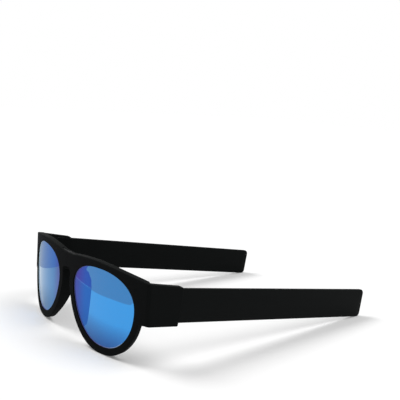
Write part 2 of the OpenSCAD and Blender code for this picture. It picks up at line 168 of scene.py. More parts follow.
class ArmSizes(bpy.types.PropertyGroup):
    sleeve_len: length("Sleeve length", "Length of the sleeve that holds an arm", 23.3)
    sleeve_t: length("Sleeve thickness", "Thickness of a sleeve with its cover", 4.4)
    sleeve_wall: length("Sleeve wall", "Outer wall of a sleeve", 1.3)
    sleeve_above: length("Wall above", "Wall of a sleeve above the arm, at its end", 1)
    sleeve_rise: FloatProperty(name="Sleeve rise", subtype="ANGLE", default=math.radians(3.4),
                               description="Angle at which the top of a sleeve rises to the front")
    sleeve_below: length("Wall below", "Wall of a sleeve below the arm", 1.8)
    sleeve_r: length("Upper corner", "Radius of the upper corner at the end of a sleeve", 2)
    sleeve_low_r: length("Lower corner", "Radius of the lower corner at the end of a sleeve", 0.8)
    sleeve_block: length("Sleeve block", "Solid block at the front end of a sleeve", 5)
    cover_t: length("Cover", "Thickness of the cover on the inside of a sleeve", 1.1)
    arm_z: length("Arm height", "Height of the middle of an arm at the front", 36.3)
    toe_in: FloatProperty(name="Toe-in", description="Angle by which an arm leans inwards",
                          default=math.radians(1.5), subtype="ANGLE")
    boss_d: length("Boss", "Diameter of the bosses that pass through a band's root", 3.6)
    boss_first: length("First boss", "From the end of a sleeve to its first boss", 5)
    boss_step: length("Boss step", "Distance between the two bosses", 8.5)
    band_h: length("Band height", "Height of a band", 20)
    band_t: length("Band thickness", "Thickness of a band", 2.6)
    band_set: length("Band depth", "Depth of a band below the outside of its sleeve", 0.8)
    root_t: length("Root thickness", "Thickness of a band's root inside its sleeve", 1.8)
    root_out: length("First bend", "Length of a band from its sleeve to its first bend", 5)
    band_n: IntProperty(name="Sections", description="Sections that a band bends in", default=14)
    pitch: length("Section length", "Length of one section", 11.8)
    band_r: length("Band edge", "Radius of the long edges of a band", 0.6)
    tip_r: length("Tip corner", "Radius of the two corners of a band's tip", 3)
    tape_t: length("Tape thickness", "Thickness of the steel tape", 0.3)
    tape_h: length("Tape height", "Height of the steel tape", 16)
    tape_end: length("Past the tape", "Silicone past the end of the steel tape", 4)


class Finishes(bpy.types.PropertyGroup):
    plastic: colour("Frame plastic", "Soft-touch black of the front", "#0d0f0f")
    silicone: colour("Silicone", "Black of the bands", "#0e1010")
    lens_mid: colour("Lens middle", "Mirror colour in the middle of a lens", "#3195df")
    lens_nose: colour("Lens nose side", "Mirror colour beside the nose", "#586fc4")
    lens_edge: colour("Lens edge", "Bare edge of a lens on its nose side", "#565c9c")
    # The outer tone is paler than the bare edge itself: a painted highlight along the lens's outer edge
    lens_edge_out_highlight: colour("Lens edge, outer", "Bare edge of a lens on its outer side", "#d5ecf4")
    lens_back: colour("Lens back", "Smoke grey of a lens from behind", "#3c3d42")
    steel: colour("Steel", "Tapes in the bands", "#63666a")
    floor: colour("Floor", "Pale floor", "#f2f2f2")


class Layout:
    """Places and lines that follow from the sizes. Depths are counted from the bridge's front."""

    def __init__(self):
        scene = bpy.context.scene
        self.f, self.g, self.h, self.a = (scene.glasses_front, scene.glasses_lens,
                                          scene.glasses_hinge, scene.glasses_arm)
        f, g, a = self.f, self.g, self.a
        self.half_w = f.front_w / 2
        self.corner_y = f.bend_r - math.sqrt(f.bend_r ** 2 - self.half_w ** 2)
        self.brow_z = f.rim_below + g.lens_h + f.brow_h
        self.bridge_z = self.brow_z - f.bridge_dip
        self.arch_z = self.bridge_z - f.bridge_h
        self.lens_z = f.rim_below + g.lens_h / 2
        self.band_len = a.root_out + a.band_n * a.pitch
        self.band_in = a.band_set + a.band_t
        self.tape_mid = (a.sleeve_wall + a.sleeve_t - a.cover_t) / 2
        run = a.sleeve_len + self.band_len - a.tip_r
        up = a.band_h / 2 - a.tip_r
        self.slope = math.asin((a.arm_z - a.tip_r) / math.hypot(run, up)) - math.atan(up / run)
        whole = (self.corner_y - a.band_set * math.sin(a.toe_in) + math.cos(a.toe_in)
                 * (run * math.cos(self.slope) + up * math.sin(self.slope) + a.tip_r))
        self.shift = -whole / 2
        self.sleeve_up = a.band_h / 2 + a.sleeve_above
        self.sleeve_down = a.band_h / 2 + a.sleeve_below
        self.sleeve_front_up = (self.sleeve_up + a.sleeve_r * (math.cos(a.sleeve_rise) - 1)
                                + (a.sleeve_len + a.sleeve_r * (math.sin(a.sleeve_rise) - 1))
                                * math.tan(a.sleeve_rise))
        self.out = Vector((math.cos(a.toe_in), math.sin(a.toe_in)))
        self.back = Vector((-math.sin(a.toe_in), math.cos(a.toe_in)))
        self.centre = Vector((0, f.bend_r))
        self.corner = self.mitre(f.corner_r)
        self.first = math.atan2(self.corner.x, f.bend_r - self.corner.y)
        self.turn = math.pi / 2 + a.toe_in - self.first
        self.u1 = f.bend_r * self.first
        self.u2 = self.u1 + f.corner_r * self.turn
        self.h2 = self.mitre_run(f.corner_r)
        self.pad_line = curve([(self.lens_z + g.lens_h * up, f.pad_t * out) for up, out in PAD_LOWER]
                              + [(self.arch_z + g.lens_h * up, f.pad_t * out) for up, out in PAD_UPPER])

    def mitre_run(self, depth):
        """How far along the sleeve the inner corner lies at a depth below the outside."""
        q = Vector((self.half_w, self.corner_y)) - self.out * depth - self.centre
        b = q.dot(self.back)
        return -b - math.sqrt(b * b - q.length_squared + (self.f.bend_r - depth) ** 2)

    def mitre(self, depth):
        """Where front and sleeve meet at a depth below the outside."""
        start = Vector((self.half_w, self.corner_y)) - self.out * depth
        return start + self.back * self.mitre_run(depth)

    def wrap(self, u, depth, z):
        """A point of the flat pattern, carried round the bent front, the corner and the sleeve."""
        r = self.f.corner_r
        if u <= self.u1:
            angle = u / self.f.bend_r
            if depth > r:
                m = self.mitre(depth)
                angle = min(angle, math.atan2(m.x, self.f.bend_r - m.y))
            p = self.centre + (self.f.bend_r - depth) * Vector((math.sin(angle), -math.cos(angle)))
        elif u < self.u2:
            angle = self.first + (u - self.u1) / r
            p = self.mitre(depth)
            if depth < r:
                p = self.corner + (r - depth) * Vector((math.sin(angle), -math.cos(angle)))
        else:
            run = u - self.u2 + self.h2
            if depth > r:
                run = max(run, self.mitre_run(depth))
            p = Vector((self.half_w, self.corner_y)) - self.out * depth + self.back * run
        return Vector((p.x, p.y + self.shift, z))

    def flat_arm(self, y, z):
        """A place on the outside of the sleeve, in the flat pattern."""
        y += self.a.sleeve_len
        run = y * math.cos(self.slope) + z * math.sin(self.slope)
        height = self.a.arm_z - y * math.sin(self.slope) + z * math.cos(self.slope)
        return Vector((self.u2 + run - self.h2, height))

    def flat_front(self, x, z):
        """A place on the front, in the flat pattern."""
        return Vector((self.f.bend_r * math.asin(x / self.f.bend_r), z))

    def arm(self):
        """From the left arm's own axes: x outwards, y along it from the sleeve's end, z up."""
        place = Matrix.Translation((self.half_w, self.corner_y + self.shift, self.a.arm_z))
        turn = Matrix.Rotation(self.a.toe_in, 4, "Z") @ Matrix.Rotation(-self.slope, 4, "X")
        return place @ turn @ Matrix.Translation((0, self.a.sleeve_len, 0))

    def lens_point(self, angle, side=0, top=0, bottom=0, nose=0):
        """A point on the outline of a lens, grown by a width at its sides, top, bottom and nose."""
        g = self.g
        u, v = (math.copysign(abs(c) ** (2 / g.power), c) for c in (math.cos(angle), math.sin(angle)))
        width = g.lens_w / 2 + (side if u > 0 else nose)
        x = g.mid_x - g.lean * v / 2 + width * u * (1 + g.taper * v)
        return Vector((x, self.lens_z + (g.lens_h / 2 + (top if v > 0 else bottom)) * v))

    def beyond_rim(self, p):
        """Whether a point of the nose arch lies outside the rim, towards the nose."""
        f, g = self.f, self.g
        v = (p.y - self.lens_z) / (g.lens_h / 2 + f.brow_h)
        u = max(0, 1 - abs(v) ** g.power) ** (1 / g.power)
        return p.x < g.mid_x - g.lean * v / 2 - (g.lens_w / 2 + f.rim_nose) * u * (1 + g.taper * v)

    def from_lens(self, x, z):
        """About how far a place lies outside the lens opening."""
        g = self.g
        v = (z - self.lens_z) / (g.lens_h / 2)
        u = (x - g.mid_x + g.lean * v / 2) / (g.lens_w / 2 * (1 + g.taper * v))
        return ((abs(u) ** g.power + abs(v) ** g.power) ** (1 / g.power) - 1) * g.lens_w / 2

    def pad_depth(self, u, z):
        """How far a place of the flat pattern stands out behind the front as the nose pad."""
        f, g = self.f, self.g
        x = f.bend_r * math.sin(u / f.bend_r)
        if x > g.mid_x - g.lean:
            return 0
        for a, b in zip(self.pad_line, self.pad_line[1:]):
            if a.x <= z < b.x:
                deep = a.y + (b.y - a.y) * (z - a.x) / (b.x - a.x)
                off = min(1, max(0, (self.from_lens(x, z) - g.edge / 2) / (1.5 * g.edge)))
                return deep * off * off * (3 - 2 * off)
        return 0

    def outline(self):
        """The flat outline of the left half: bar, sleeve, rim and nose arch."""
        f, g, a = self.f, self.g, self.a
        lens_side = g.mid_x + g.lens_w / 2
        nose_side = g.mid_x - g.lens_w / 2 - f.rim_nose
        rise = self.arch_z - self.lens_z
        end_top = a.arm_z + self.sleeve_front_up * math.cos(self.slope)
        end_low = a.arm_z - self.sleeve_down * math.cos(self.slope)
        # The upper edge of the bar, and the outline of the sleeve
        bar = curve([(f.butt_gap / 2, self.bridge_z),
                     (nose_side, self.bridge_z + f.bridge_dip * BAR_RIM_RISE),
                     (nose_side + g.lens_w * BAR_RISEN, self.brow_z - f.bridge_dip * BAR_DIP_LEFT),
                     (g.mid_x - g.lens_w * BAR_TOP, self.brow_z),
                     (g.mid_x + g.lens_w * BAR_FALLING, self.brow_z - f.brow_fall * BAR_FALLEN),
                     (lens_side, self.brow_z - f.brow_fall), (self.half_w, end_top)])
        points = [self.flat_front(*p) for p in bar if p[0] < self.half_w - f.corner_r]
        points += [self.flat_arm(-a.sleeve_len, self.sleeve_front_up), self.flat_arm(0, self.sleeve_up),
                   self.flat_arm(0, -self.sleeve_down), self.flat_arm(-a.sleeve_len, -self.sleeve_down)]
        # The rim below the sleeve, then the arch over the nose
        turns = [-math.tau * (i + 0.5) / RIM_STEPS for i in range(RIM_STEPS)]
        rim = [self.lens_point(t, f.rim_side, f.brow_h, f.rim_below, f.rim_nose) for t in turns]
        arch = curve([(nose_side - f.nose_in * inward, self.lens_z + rise * up) for inward, up in ARCH]
                     + [(f.butt_gap / 2, self.arch_z)])
        arch = [p for p in arch if self.beyond_rim(p)]
        steep = f.end_fall / (self.half_w - lens_side)
        low = [p for p in rim if p.x > g.mid_x and p.y < end_low - steep * (self.half_w - p.x)]
        across = [p for p in rim if p.x <= g.mid_x and p.y < arch[0].y]
        points.append(self.flat_front(low[0].x, end_low - steep * (self.half_w - low[0].x)))
        points += [self.flat_front(*p) for p in low + across + arch]
        return points


def curve(points):
    """A smooth line through a few points."""
    p = [Vector(q) for q in points]
    line = []
    for i in range(len(p) - 1):
        a, b, c, d = p[max(i - 1, 0)], p[i], p[i + 1], p[min(i + 2, len(p) - 1)]
        for k in range(CURVE_STEPS):
            t = k / CURVE_STEPS
            line.append((2 * b + (c - a) * t + (2 * a - 5 * b + 4 * c - d) * t * t
                         + (3 * b - a - 3 * c + d) * t ** 3) / 2)
    return line + [p[-1]]


def slice_mesh(bm, axis, places):
    """Cuts all faces at places along an axis, so that they can bend there."""
    for place in places:
        bmesh.ops.bisect_plane(bm, geom=bm.verts[:] + bm.edges[:] + bm.faces[:], dist=ON_CUT,
                               plane_co=axis * place, plane_no=axis)


def spaced(start, end, step):
    """Evenly spaced places, at most a step apart."""
    n = max(1, math.ceil((end - start) / step))
    return [start + (end - start) * i / n for i in range(n + 1)]


def block(x, y, z):
    """A box given by its ranges."""
    bm = bmesh.new()
    middle = [(r[0] + r[1]) / 2 for r in (x, y, z)]
    extent = [r[1] - r[0] for r in (x, y, z)]
    bmesh.ops.create_cube(bm, size=1, matrix=Matrix.LocRotScale(Vector(middle), None, Vector(extent)))
    return bm


def about(middle, size):
    """The range of a size about its middle."""
    return middle - size / 2, middle + size / 2


def rod(radius, start, end):
    """A round bar between two points."""
    bm = bmesh.new()
    line = Vector(end) - Vector(start)
    place = Matrix.Translation((Vector(start) + Vector(end)) / 2)
    turn = line.to_track_quat("Z", "Y").to_matrix().to_4x4()
    bmesh.ops.create_cone(bm, cap_ends=True, segments=ROD_SIDES, radius1=radius, radius2=radius,
                          depth=line.length, matrix=place @ turn)
    return bm


def thicken(bm, faces, by):
    """Extrudes flat faces into a closed slab."""
    grown = bmesh.ops.extrude_face_region(bm, geom=faces, use_keep_orig=True)["geom"]
    bmesh.ops.translate(bm, vec=by, verts=[v for v in grown if isinstance(v, bmesh.types.BMVert)])


def round_edges(bm, edges, radius, segments):
    """Rounds edges with a radius."""
    bmesh.ops.bevel(bm, geom=edges, offset=radius, segments=segments, affect="EDGES", profile=0.5,
                    material=-1)


def join(bm, other):
    """Adds another closed shape to a bmesh."""
    mesh = bpy.data.meshes.new("joined")
    other.to_mesh(mesh)
    other.free()
    bm.from_mesh(mesh)
    bpy.data.meshes.remove(mesh)


def finish_mesh(bm, name, side):
    """The bmesh of a left piece as a mesh, mirrored for the right side."""
    if side < 0:
        bmesh.ops.scale(bm, vec=(-1, 1, 1), verts=bm.verts)
    bmesh.ops.recalc_face_normals(bm, faces=bm.faces)
    mesh = bpy.data.meshes.new(name)
    bm.to_mesh(mesh)
    bm.free()
    mesh.shade_smooth()
    mesh.set_sharp_from_angle(angle=SHARP_FROM)
    return mesh


def add_piece(name, mesh, *materials):
    """Puts a mesh into the scene as a piece with its materials."""
    piece = bpy.data.objects.new(name, mesh)
    for m in materials:
        mesh.materials.append(m)
    bpy.context.scene.collection.objects.link(piece)
    return piece


def carve(bm, cutters):
    """Takes cutters away from a closed bmesh with exact booleans."""
    pieces = []
    for shape in [bm] + cutters:
        bmesh.ops.recalc_face_normals(shape, faces=shape.faces)
        mesh = bpy.data.meshes.new("carved")
        shape.to_mesh(mesh)
        shape.free()
        pieces.append(add_piece("carved", mesh))
    for cutter in pieces[1:]:
        cut = pieces[0].modifiers.new("cut", "BOOLEAN")
        cut.operation, cut.solver, cut.object = "DIFFERENCE", "EXACT", cutter
    result = bmesh.new()
    result.from_object(pieces[0], bpy.context.evaluated_depsgraph_get())
    for used in pieces:
        spent = used.data
        bpy.data.objects.remove(used)
        bpy.data.meshes.remove(spent)
    return result


def stretch(loop, start, end):
    """The vertices of a closed loop from one place to another."""
    return (loop + loop)[start:end + 1 if end > start else end + len(loop) + 1]


def add_node(tree, kind, links=(), **settings):
    """Adds a node. Settings name its properties or inputs, and links its inputs and their sources."""
    made = tree.nodes.new("ShaderNode" + kind)
    for name, value in settings.items():
        if hasattr(made, name):
            setattr(made, name, value)
        else:
            made.inputs[name.replace("_", " ")].default_value = value
    for name, source in dict(links).items():
        tree.links.new(source, made.inputs[name])
    return made


def new_material(name, **settings):
    """A material with its shader and its Object coordinates."""
    made = bpy.data.materials.get(name)
    if made:
        return made, None, None
    made = bpy.data.materials.new(name)
    made.use_nodes = True
    shader = made.node_tree.nodes["Principled BSDF"]
    for label, value in settings.items():
        shader.inputs[label.replace("_", " ")].default_value = value
    place = add_node(made.node_tree, "TexCoord").outputs["Object"]
    return made, shader, place


def shades():
    """The colours that the user can change."""
    return bpy.context.scene.glasses_finish


def grained(made, shader, place, colour_value, grain, height, patch, spread, roughness):
    """Gives a shader fine grain in its bump, and slow patches in its colour and roughness."""
    tree = made.node_tree
    fine = add_node(tree, "TexNoise", {"Vector": place}, Scale=1 / grain, Detail=2.0)
    slow = add_node(tree, "TexNoise", {"Vector": place}, Scale=1 / patch, Detail=3.0)
    bump = add_node(tree, "Bump", {"Height": fine.outputs["Fac"]}, Strength=0.5, Distance=height)
    tree.links.new(bump.outputs["Normal"], shader.inputs["Normal"])
    tone = add_node(tree, "ValToRGB", {"Fac": slow.outputs["Fac"]})
    tone.color_ramp.elements[0].position = 0.3
    tone.color_ramp.elements[1].position = 0.7
    tone.color_ramp.elements[0].color = [c * (1 - spread) for c in colour_value[:3]] + [1]
    tone.color_ramp.elements[1].color = [c * (1 + spread) for c in colour_value[:3]] + [1]
    tree.links.new(tone.outputs["Color"], shader.inputs["Base Color"])
    rough = add_node(tree, "MapRange", {"Value": slow.outputs["Fac"]}, From_Min=0.3, From_Max=0.7,
                     To_Min=roughness - 0.04, To_Max=roughness + 0.04)
    tree.links.new(rough.outputs["Result"], shader.inputs["Roughness"])
    return made


def soft_touch_plastic():
    """Polycarbonate, moulded, with a soft-touch lacquer: dark, dull, with a fine even grain."""
    made, shader, place = new_material("soft_touch_polycarbonate", IOR=1.5, Specular_IOR_Level=0.04)
    if shader:
        grained(made, shader, place, shades().plastic, grain=0.35 * MM, height=0.02 * MM,
                patch=12 * MM, spread=0.12, roughness=0.75)
    return made


def moulded_silicone():
    """Silicone rubber, moulded over the steel tape: dull, a little softer and greyer than plastic."""
    made, shader, place = new_material("moulded_silicone", IOR=1.41, Specular_IOR_Level=0.04)
    if shader:
        grained(made, shader, place, shades().silicone, grain=0.5 * MM, height=0.02 * MM,
                patch=15 * MM, spread=0.12, roughness=0.5)
    return made


def spring_steel():
    """Spring steel, rolled and tempered: dark grey, smooth and shiny."""
    made, shader, place = new_material("rolled_spring_steel", Metallic=1.0)
    if shader:
        grained(made, shader, place, shades().steel, grain=0.4 * MM, height=0.01 * MM,
                patch=4 * MM, spread=0.1, roughness=0.22)
    return made


def blackened_steel():
    """Steel screws, hinge leaves and pin, black oxidised and oiled: near black with a dull shine."""
    made, shader, place = new_material("oxidised_steel", IOR=1.6, Specular_IOR_Level=0.04)
    if shader:
        grained(made, shader, place, linear("#141516"), grain=0.3 * MM, height=0.01 * MM,
                patch=4 * MM, spread=0.1, roughness=0.5)
    return made


def by_width(made, shader, place, inner, outer, nose_side, temple_side):
    """Lets a shader's colour change smoothly between two distances from the middle of the glasses."""
    tree = made.node_tree
    parts = add_node(tree, "SeparateXYZ", {"Vector": place})
    across = add_node(tree, "Math", {0: parts.outputs["X"]}, operation="ABSOLUTE")
    share = add_node(tree, "MapRange", {"Value": across.outputs[0]}, From_Min=inner, From_Max=outer,
                     interpolation_type="SMOOTHSTEP")
    shade = add_node(tree, "ValToRGB", {"Fac": share.outputs["Result"]})
    shade.color_ramp.elements[0].color = nose_side
    shade.color_ramp.elements[1].color = temple_side
    tree.links.new(shade.outputs["Color"], shader.inputs["Base Color"])


def mirror_coat():
    """Polycarbonate lens with a vapour-deposited mirror coat: blue, glossy, more violet by the nose."""
    made, shader, place = new_material("blue_mirror_coat", Metallic=0.95, Roughness=0.03, IOR=1.58,
                                       Coat_Weight=0.4, Coat_Roughness=0.02)
    if shader:
        g = bpy.context.scene.glasses_lens
        inner = g.mid_x - g.lens_w / 2
        violet_w = 12 * MM
        by_width(made, shader, place, inner, inner + violet_w, shades().lens_nose, shades().lens_mid)
    return made


def bare_edge_and_highlight():
    """The rim of the lens that the mirror coat leaves bare: polycarbonate, satin, paler outwards by a
    painted highlight.
    """
    made, shader, place = new_material("bare_polycarbonate_edge_and_highlight", Roughness=0.5, IOR=1.58,
                                       Specular_IOR_Level=0.15)
    if shader:
        g = bpy.context.scene.glasses_lens
        by_width(made, shader, place, g.mid_x, g.mid_x + g.lens_w / 2, shades().lens_edge,
                 shades().lens_edge_out_highlight)
    return made


def smoke_back():
    """The back of the lens: smoke grey polycarbonate, glossy."""
    return new_material("smoke_polycarbonate", Roughness=0.12, IOR=1.58,
                        Base_Color=shades().lens_back)[0]


def matt_card(name, tones, start, end):
    """Coloured card, matt, laid in front of the glasses to be seen in their lenses alone."""
    made, shader, place = new_material(name, Roughness=0.8, Specular_IOR_Level=0.0,
                                       Base_Color=linear(tones[0]))
    if len(tones) == 2:
        tree = made.node_tree
        parts = add_node(tree, "SeparateXYZ", {"Vector": place})
        along = add_node(tree, "MapRange", {"Value": parts.outputs["Y"]}, From_Min=start, From_Max=end)
        shade = add_node(tree, "ValToRGB", {"Fac": along.outputs["Result"]})
        for element, tone in zip(shade.color_ramp.elements, tones):
            element.color = linear(tone)
        tree.links.new(shade.outputs["Color"], shader.inputs["Base Color"])
    return made


def seen_by(tree, path, *rays):
    """1 for the named kinds of ray, and 0 for all others."""
    seen = path.outputs[rays[0]]
    for ray in rays[1:]:
        seen = add_node(tree, "Math", {0: seen, 1: path.outputs[ray]}, operation="MAXIMUM").outputs[0]
    return seen


def pale_floor():
    """Matt white laminate, seen by the camera at white where nothing shades it."""
    made, shader, place = new_material("matt_white_laminate", Roughness=0.7, Specular_IOR_Level=0.0,
                                       Base_Color=shades().floor, Emission_Color=(1, 1, 1, 1))
    path = add_node(made.node_tree, "LightPath")
    seen = seen_by(made.node_tree, path, "Is Camera Ray", "Is Glossy Ray")
    glow = add_node(made.node_tree, "MapRange", {"Value": seen}, To_Max=FLOOR_GLOW)
    made.node_tree.links.new(glow.outputs["Result"], shader.inputs["Emission Strength"])
    return made


def lens_loop(bm, lay, grow, depth, capped=False):
    """A loop along the outline of a lens, grown by a width, in the flat pattern."""
    loop = bmesh.ops.create_circle(bm, cap_ends=capped, radius=1, segments=OPENING_STEPS)["verts"]
    for i, v in enumerate(loop):
        p = lay.lens_point(math.tau * (i + 0.5) / OPENING_STEPS, grow, grow, grow, grow)
        p = lay.flat_front(*p)
        v.co = (p.x, depth, p.y)
    return loop


def front_slab(lay):
    """The half front as a flat slab: rim, bar, half bridge and sleeve, open where the lens sits."""
    f, a = lay.f, lay.a
    bm = bmesh.new()
    outer = [bm.verts.new((p.x, 0, p.y)) for p in lay.outline()]
    ring = lens_loop(bm, lay, 0, 0)
    ends = []
    for pick in (max, min):
        inner = pick(ring, key=lambda v: v.co.z)
        near = min(outer, key=lambda v: (v.co - inner.co).length)
        ends.append((outer.index(near), ring.index(inner)))
    (top, top_in), (low, low_in) = ends
    bm.faces.new(stretch(outer, top, low) + stretch(ring, low_in, top_in))
    bm.faces.new(stretch(outer, low, top) + stretch(ring, top_in, low_in))
    thicken(bm, bm.faces[:], (0, f.front_t, 0))
    bmesh.ops.recalc_face_normals(bm, faces=bm.faces)
    for z, r in ((lay.sleeve_up, a.sleeve_r), (-lay.sleeve_down, a.sleeve_low_r)):
        end = lay.flat_arm(0, z)
        post = [e for e in bm.edges if all((v.co.xz - end).length < MERGE for v in e.verts)]
        round_edges(bm, post, r, segments=6)
    rims = [e for e in bm.edges if len(e.link_faces) == 2 and e.calc_face_angle() > ROUND_FROM
            and abs(e.verts[0].co.y - e.verts[1].co.y) < SAME
            and max(v.co.x for v in e.verts) > f.butt_gap]
    opening = [e for e in rims if lay.from_lens(e.verts[0].co.x, e.verts[0].co.z) < f.rim_side / 2]
    round_edges(bm, [e for e in rims if e not in opening], f.edge_r, segments=3)
    round_edges(bm, [e for e in opening if e.is_valid], f.opening_r, segments=2)
    return bm


def lens_groove(bm, lay):
    """Cuts the groove that holds the lens into the wall of the opening."""
    g = lay.g
    low, high = g.set_in - g.fit, g.set_in + g.thick + g.fit
    reach = max(abs(lay.lens_point(0).x - g.mid_x), g.lens_h / 2) * WALL_REACH
    middle = Vector((lay.flat_front(g.mid_x, 0).x, 0, lay.lens_z))

    def upright(face):
        return abs(face.normal.y) < WALL_TILT

    def walls():
        """The faces of the wall of the opening, which look towards its middle."""
        found = []
        for face in filter(upright, bm.faces):
            inward = middle - face.calc_center_median()
            inward.y = 0
            if inward.length < reach and face.normal.dot(inward) > 0:
                found.append(face)
        return found

    for place in (low, high):
        geom = dict.fromkeys(x for face in walls() for x in [face, *face.edges, *face.verts])
        bmesh.ops.bisect_plane(bm, geom=list(geom), dist=ON_CUT, plane_co=(0, place, 0),
                               plane_no=(0, 1, 0))
    bm.normal_update()
    belt = [face for face in walls() if low < face.calc_center_median().y < high]
    grown = bmesh.ops.extrude_face_region(bm, geom=belt)["geom"]
    for v in [v for v in grown if isinstance(v, bmesh.types.BMVert)]:
        inward = sum((face.normal for face in filter(upright, v.link_faces)), Vector())
        v.co -= inward.normalized() * g.edge
    return bm


def bend_front(bm, lay):
    """Carries a flat slab round the bend of the front, the corner and along the sleeve."""
    f, a = lay.f, lay.a
    cuts = (spaced(0, lay.u1, FRONT_CUT)[1:] + spaced(lay.u1, lay.u2, CORNER_CUT)[1:]
            + [lay.u2 + FRONT_CUT])
    slice_mesh(bm, Vector((1, 0, 0)), cuts)
    slice_mesh(bm, Vector((0, 0, 1)), spaced(0, lay.bridge_z, FINE_CUT))
    for v in bm.verts:
        thicker = min(1, max(0, (v.co.x - lay.u1) / (lay.u2 - lay.u1)))
        depth = v.co.y * (1 + (a.sleeve_t / f.front_t - 1) * thicker)
        if v.co.y > f.front_t - f.edge_r - SAME:
            depth += lay.pad_depth(v.co.x, v.co.z)
        v.co = lay.wrap(v.co.x, depth, v.co.z)
    bmesh.ops.remove_doubles(bm, verts=bm.verts, dist=MERGE)
    return bm


def hinge_cutters(lay):
    """The room for the hinge at the bridge: V gap, barrel, leaf slot and screw head."""
    f, h = lay.f, lay.h
    fit = lay.g.fit
    low = lay.bridge_z - h.hinge_h - fit
    top = lay.brow_z
    y = lay.shift + h.pin_y
    deep = f.front_t + f.pad_t
    half = f.butt_gap / 2
    spare = math.radians(1)
    corners = [(-PAST, y), (half, y), (half + deep * math.tan(h.fold / 2 + spare), y + deep),
               (-PAST, y + deep)]
    wedge = bmesh.new()
    base = wedge.faces.new([wedge.verts.new((*p, -PAST)) for p in corners])
    thicken(wedge, [base], (0, 0, top + 2 * PAST))
    barrel = rod(h.barrel_d / 2 + h.room, (0, y, low), (0, y, top))
    slot = block((-PAST, h.leaf_reach + fit), about(y, h.leaf_t + fit), (low, top))
    z = lay.bridge_z - h.screw_low
    rear = lay.shift + f.front_t + f.bend_r - math.sqrt(f.bend_r ** 2 - h.screw_x ** 2)
    head = rod((h.head_d + fit) / 2, (h.screw_x, rear - h.head_t - fit / 2, z),
               (h.screw_x, rear + PAST, z))
    return [wedge, barrel, slot, head]


def pocket_cutter(lay):
    """The pocket for a band's root, open to the inside and to the end of the sleeve."""
    a = lay.a
    bm = block((-a.sleeve_t - PAST, -a.sleeve_wall), (a.sleeve_block - a.sleeve_len, PAST),
               about(0, a.band_h + 2 * lay.g.fit))
    bmesh.ops.transform(bm, matrix=lay.arm(), verts=bm.verts)
    return bm


class GLASSES_OT_front(bpy.types.Operator):
    """Makes both half fronts: a flat slab with rounded edges, bent round and carved"""
    bl_idname = "glasses.front"
    bl_label = "Half fronts"

    def execute(self, context):
        lay = Layout()
        a = lay.a
        for name, side in SIDES:
            bm = bend_front(lens_groove(front_slab(lay), lay), lay)
            bm = carve(bm, hinge_cutters(lay) + [pocket_cutter(lay)])
            cover = a.cover_t + lay.g.fit - a.sleeve_t
            for y in (-a.boss_first, -a.boss_first - a.boss_step):
                boss = rod(a.boss_d / 2, (cover, y, 0), (-a.sleeve_wall, y, 0))
                bmesh.ops.transform(boss, matrix=lay.arm(), verts=boss.verts)
                join(bm, boss)
            mesh = finish_mesh(bm, name + "_front", side)
            piece = add_piece(name + "_front", mesh, soft_touch_plastic())
            even = piece.modifiers.new("even shading", "WEIGHTED_NORMAL")
            even.keep_sharp = True
            # The bevel of a real lens turns the wall of its opening out of the mirror image.
            piece.visible_glossy = False
            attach(piece, name + "_half")
            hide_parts(name + "_frame")
        return {"FINISHED"}


def bare_ring(lay):
    """The bare edge of a lens, paled outwards by a painted highlight: a slim bevelled ring round its
    front, just inside the opening.
    """
    g = lay.g
    gap = 0.02 * MM
    profile = [(-gap, g.set_in + gap), (-gap, g.set_in - g.bare_h),
               (-g.bare_w / 3, g.set_in - g.bare_h), (-g.bare_w, g.set_in + gap)]
    bm = bmesh.new()
    loops = []
    for grow, depth in profile:
        loop = lens_loop(bm, lay, grow, depth)
        loops.append(list(dict.fromkeys(e for v in loop for e in v.link_edges)))
    # Bridging twists loops this close, so it is done at a thousand times the size
    bmesh.ops.scale(bm, vec=(1 / MM, 1 / MM, 1 / MM), verts=bm.verts)
    for one, other in zip(loops, loops[1:] + loops[:1]):
        bmesh.ops.bridge_loops(bm, edges=one + other)
    for v in bm.verts:
        v.co = lay.wrap(*(v.co * MM))
    return bm


def crowned_lens(lay):
    """A lens that is bent with the front, slightly crowned, and reaches into its groove."""
    g = lay.g
    bm = bmesh.new()
    lens_loop(bm, lay, g.edge - g.fit, g.set_in, capped=True)
    thicken(bm, bm.faces[:], (0, g.thick, 0))
    slice_mesh(bm, Vector((1, 0, 0)), spaced(0, lay.u1, FINE_CUT))
    slice_mesh(bm, Vector((0, 0, 1)), spaced(0, lay.brow_z, FINE_CUT))
    for v in bm.verts:
        up = (v.co.z - lay.lens_z) / (g.lens_h / 2)
        middle = lay.flat_front(g.mid_x - g.lean * up / 2, 0).x
        across = (v.co.x - middle) / (g.lens_w / 2 * (1 + g.taper * up))
        depth = v.co.y - g.crown * max(0, 1 - across ** 2 - up ** 2)
        v.co = lay.wrap(v.co.x, depth, v.co.z)
    return bm


class GLASSES_OT_lenses(bpy.types.Operator):
    """Makes both lenses, bent with the front and slightly crowned, and their bare edges with a painted
    highlight
    """
    bl_idname = "glasses.lenses"
    bl_label = "Lenses"

    def execute(self, context):
        lay = Layout()
        for name, side in SIDES:
            mesh = finish_mesh(bare_ring(lay), name + "_lens_edge", side)
            ring = add_piece(name + "_lens_edge", mesh, bare_edge_and_highlight())
            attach(ring, name + "_half")
            mesh = finish_mesh(crowned_lens(lay), name + "_mirror_lens", side)
            piece = add_piece(name + "_mirror_lens", mesh, mirror_coat(), smoke_back())
            for face in mesh.polygons:
                face.material_index = 0 if face.normal.y < -COAT_FROM else 1
            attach(piece, name + "_half")
            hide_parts(name + "_lens")
        return {"FINISHED"}


